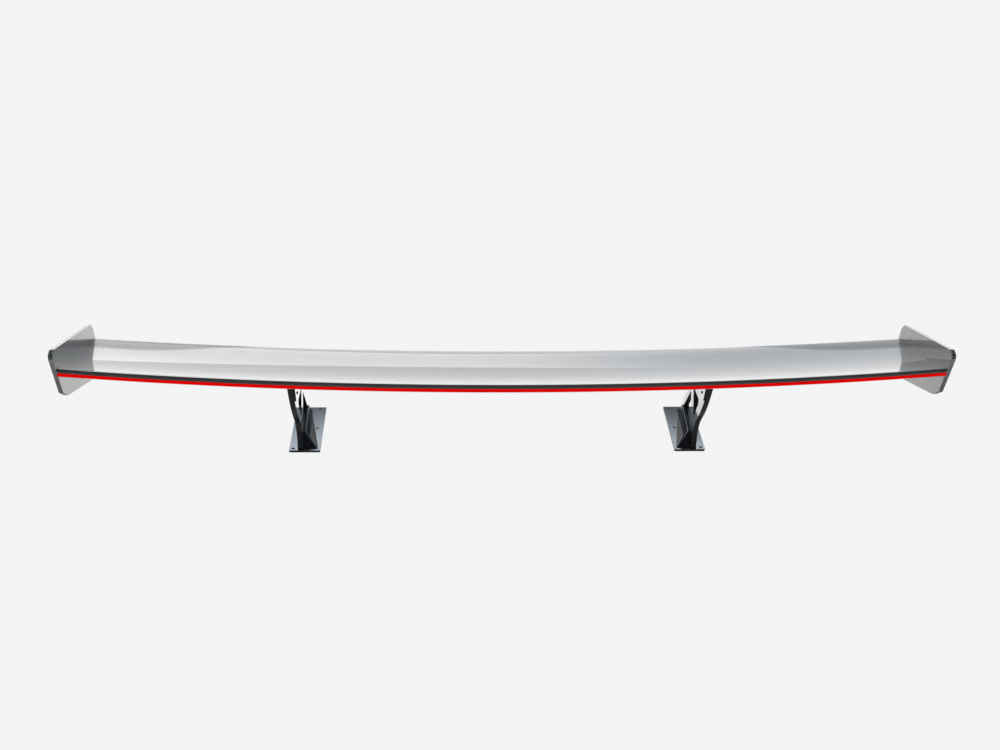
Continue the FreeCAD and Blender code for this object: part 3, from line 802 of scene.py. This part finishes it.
@dataclass
class Studio:
    """The floor, the room's light and the camera."""

    floor_near: float = -1.2
    floor_far: float = 9.0
    floor_side: float = 7.0
    floor_grey: float = 0.06
    floor_glow: float = 0.885
    floor_bounce: float = 1.5
    # Painted shadow: the floor's bounce light under and beside the wing, and where it centres.
    under_wing: float = 0.13
    wing_shade_y: float = -0.13
    lens_mm: float = 46.8
    position: tuple[float, float, float] = (-0.1044, -2.2207, 1.5027)
    pitch: float = 29.6
    yaw: float = 2.59
    roll: float = 1.23
    backdrop: float = 0.92
    panel_bearing: float = 0.5
    panel_foot: float = 4.6
    panel_sag: float = -0.022
    panel_lowest: float = -9.0
    panel_bright: float = 2.75
    panel_far: float = 1.62
    below_panel: float = 1.6
    above_panel: float = 0.5
    sides: float = 0.25
    ceiling: float = 0.55
    strip_light: float = 5.0
    behind: float = 0.06
    behind_high: float = 0.25

    def floor(self) -> None:
        """Lay a pale lit table: matt, evenly glowing, and over-bright to everything but the eye,
        where a painted shadow of the wing dims that light under the wing.
        """
        mesh = bmesh.new()
        bmesh.ops.create_grid(mesh, x_segments=8, y_segments=8, size=0.5)
        length = self.floor_far - self.floor_near
        bmesh.ops.scale(mesh, vec=(2.0 * self.floor_side, length, 1.0), verts=mesh.verts[:])
        bmesh.ops.translate(mesh, vec=(0.0, self.floor_near + length / 2.0, 0.0),
                            verts=mesh.verts[:])
        piece = shown("studio_floor", mesh)
        material = bpy.data.materials.new("pale matt floor")
        material.use_nodes = True
        tree = Tree(material.node_tree)
        shader = tree.add("BsdfPrincipled")
        mottle = tree.noise(tree.place(), 1.5, 2.0)
        pale, soft = self.floor_grey, self.floor_grey * 0.996
        tree.put(shader.inputs["Base Color"], tree.blend(
            mottle, (soft, soft, soft, 1.0), (pale, pale, pale, 1.0)))
        settings(shader, Roughness=1.0, Specular_IOR_Level=0.0,
                 Emission_Color=(1.0, 1.0, 1.0, 1.0), Emission_Strength=self.floor_glow)
        split = tree.add("SeparateXYZ")
        tree.put(split.inputs[0], tree.place())
        # Painted shadow: the light the floor sends to the object is dimmed under and beside the wing,
        # standing in for the wing's shadow.
        lengthwise = tree.math("ABSOLUTE", tree.math("SUBTRACT", split.outputs[1],
                                                     self.wing_shade_y))
        clear = tree.math("MAXIMUM", tree.ramp(lengthwise, 0.14, 0.46),
                          tree.ramp(tree.math("ABSOLUTE", split.outputs[0]), 0.85, 1.3))
        bounce = tree.add("Emission")
        tree.put(bounce.inputs["Strength"],
                 tree.ramp(clear, 0.0, 1.0, self.under_wing, self.floor_bounce))
        self.unless_seen(tree, bounce, shader, "OutputMaterial")
        piece.data.materials.append(material)
        LOG.info("studio_floor laid")

    def unless_seen(self, tree: Tree, lit: bpy.types.Node, seen: bpy.types.Node,
                    output: str) -> None:
        """Send one shader to the camera's own rays and another to all the rest.

        Args:
            tree: the node tree.
            lit: the shader that lights the object.
            seen: the shader that the camera sees.
            output: the output node's kind.
        """
        blend = tree.add("MixShader")
        tree.put(blend.inputs[0], tree.add("LightPath").outputs["Is Camera Ray"])
        tree.put(blend.inputs[1], lit.outputs[0])
        tree.put(blend.inputs[2], seen.outputs[0])
        tree.put(tree.add(output).inputs["Surface"], blend.outputs[0])

    def ahead_light(self, tree: Tree, rise: bpy.types.NodeSocket,
                    bearing: bpy.types.NodeSocket) -> bpy.types.NodeSocket:
        """Light ahead of the wing: a wide panel with a curved foot, and a strip above it.

        Args:
            tree: the room's node tree.
            rise: degrees above the horizon.
            bearing: degrees to the right of straight ahead.

        Returns:
            The strength's socket.
        """
        offset = tree.math("SUBTRACT", bearing, self.panel_bearing)
        curve = tree.math("MULTIPLY", tree.math("MULTIPLY", offset, offset), self.panel_sag)
        edge = tree.math("ADD", tree.math("MAXIMUM", curve, self.panel_lowest), self.panel_foot)
        over_edge = tree.math("SUBTRACT", rise, edge)
        wall = tree.ramp(bearing, 0.0, 13.0, self.panel_bright, self.panel_far)
        lit = tree.ramp(over_edge, -0.2, 0.2, self.below_panel, wall)
        aside = tree.math("ABSOLUTE", offset)
        dim = tree.math("MULTIPLY", tree.ramp(aside, 20.0, 28.0), tree.ramp(rise, 8.0, 12.0))
        sided = tree.ramp(dim, 0.0, 1.0, tree.ramp(rise, 14.0, 24.0, lit, self.above_panel),
                          self.sides)
        overhead = tree.ramp(rise, 40.0, 60.0, sided, self.ceiling)
        strip = tree.math("MULTIPLY", tree.ramp(aside, 20.0, 26.0, 1.0, 0.0),
                          tree.math("MULTIPLY", tree.ramp(rise, 30.4, 32.8),
                                    tree.ramp(rise, 33.2, 35.0, 1.0, 0.0)))
        return tree.math("MULTIPLY_ADD", strip, self.strip_light, overhead)

    def room(self) -> None:
        """Light the room: bright ahead of the wing, soft overhead, dim behind the camera."""
        world = bpy.data.worlds.new("studio room")
        bpy.context.scene.world = world
        world.use_nodes = True
        tree = Tree(world.node_tree)
        split = tree.add("SeparateXYZ")
        tree.put(split.inputs[0], tree.add("TexCoord").outputs["Generated"])
        x, y, z = split.outputs
        degrees = 180.0 / math.pi
        rise = tree.math("MULTIPLY", tree.math("ARCSINE", z), degrees)
        bearing = tree.math("MULTIPLY", tree.math("ARCTAN2", x, y), degrees)
        back = tree.ramp(rise, 40.0, 75.0, self.behind, self.behind_high)
        mix = tree.add("Mix", data_type="FLOAT")
        tree.put(mix.inputs[0], tree.ramp(y, -0.25, 0.55))
        tree.put(mix.inputs[2], back)
        tree.put(mix.inputs[3], self.ahead_light(tree, rise, bearing))
        warm, cool, blue = (1.0, 0.995, 0.985, 1.0), (0.95, 0.985, 1.02, 1.0), (0.86, 0.96, 1.06, 1.0)
        tint = tree.blend(tree.ramp(bearing, 2.0, 10.0), warm, cool)
        tint = tree.blend(tree.ramp(rise, 12.0, 24.0), tint, blue)
        background = tree.add("Background")
        tree.put(background.inputs["Color"], tint)
        tree.put(background.inputs["Strength"], mix.outputs[0])
        seen = tree.add("Background")
        tree.put(seen.inputs["Color"], (self.backdrop, self.backdrop, self.backdrop, 1.0))
        self.unless_seen(tree, background, seen, "OutputWorld")
        LOG.info("studio room lit")

    def camera(self) -> None:
        """Set the camera above and behind the wing."""
        data = bpy.data.cameras.new("studio_camera")
        data.lens = self.lens_mm
        data.sensor_width = 36.0
        camera = bpy.data.objects.new("studio_camera", data)
        turn = (Matrix.Rotation(math.radians(-self.yaw), 4, "Z")
                @ Matrix.Rotation(math.radians(90.0 - self.pitch), 4, "X")
                @ Matrix.Rotation(math.radians(self.roll), 4, "Z"))
        camera.matrix_world = Matrix.Translation(self.position) @ turn
        bpy.context.scene.collection.objects.link(camera)
        bpy.context.scene.camera = camera
        LOG.info("studio_camera placed")

    def build(self) -> None:
        """Make the whole studio."""
        bpy.context.scene.view_settings.view_transform = "Standard"
        self.camera()
        self.floor()
        self.room()


def main() -> None:
    """Build the studio, dress the CAD nodes, and make each assembly in order."""
    logging.basicConfig(level=logging.INFO, format="%(name)s: %(message)s")
    Studio().build()
    Hardware().build()
    Aerofoil().build()
    EndPlates().build()
    Stands().build()


if __name__ == "__main__":
    main()
